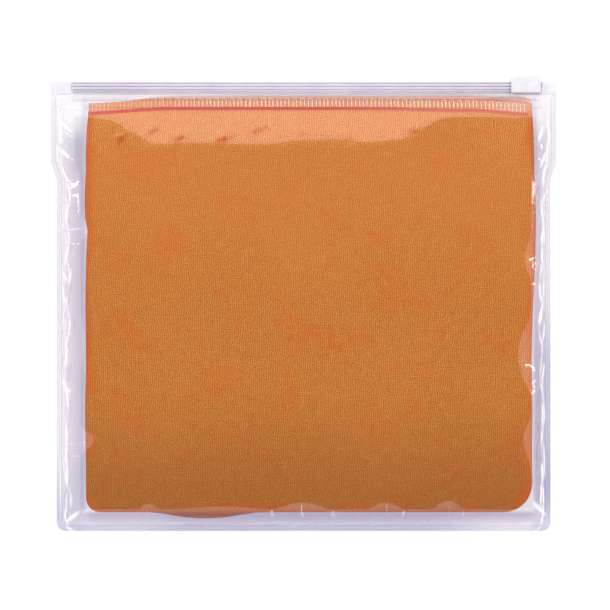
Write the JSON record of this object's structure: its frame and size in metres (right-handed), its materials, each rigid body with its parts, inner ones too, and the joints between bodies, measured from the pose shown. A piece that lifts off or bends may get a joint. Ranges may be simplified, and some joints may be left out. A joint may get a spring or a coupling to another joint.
{
  "type": "folded quick dry towel in a zip pouch",
  "caption": "Orange ribbed quick dry towel, folded square inside a clear lavender vinyl pouch that closes along its top with a white slider on a plastic zip track.",
  "frame": {"origin": "middle of the object's box in X and Y, on the surface that the back film lies on", "axes": "+X across the pouch towards the parked slider, +Y from the bottom seam towards the zip, +Z out of the front film"},
  "size_m": [0.278, 0.25, 0.0219],
  "materials": {
    "film": "clear glossy vinyl with a faint lavender tint",
    "zip_track": "translucent lavender extrusion",
    "slider": "opaque white moulding, satin",
    "towel_cloth": "orange ribbed terry, matt",
    "looper_thread": "cream overlock thread",
    "needle_thread": "deep orange needle thread"
  },
  "bodies": {
    "pouch": {"front_film": "film", "back_film": "film", "zip_rib_profile": "zip_track", "zip_claw_profile": "zip_track", "zip_end_left": "zip_track", "zip_end_right": "zip_track"},
    "slider": {"zip_slider": "slider"},
    "towel": {"towel_cloth": "towel_cloth", "hem_looper_thread": "looper_thread", "hem_needle_thread": "needle_thread"}
  },
  "joints": [
    {"name": "slider_travel", "type": "slide", "parent": "pouch", "child": "slider", "axis": [1, 0, 0], "range_m": [-0.241, 0]},
    {"name": "towel_shift", "type": "slide", "parent": "pouch", "child": "towel", "axis": [1, 0, 0], "range_m": [-0.004, 0]}
  ]
}
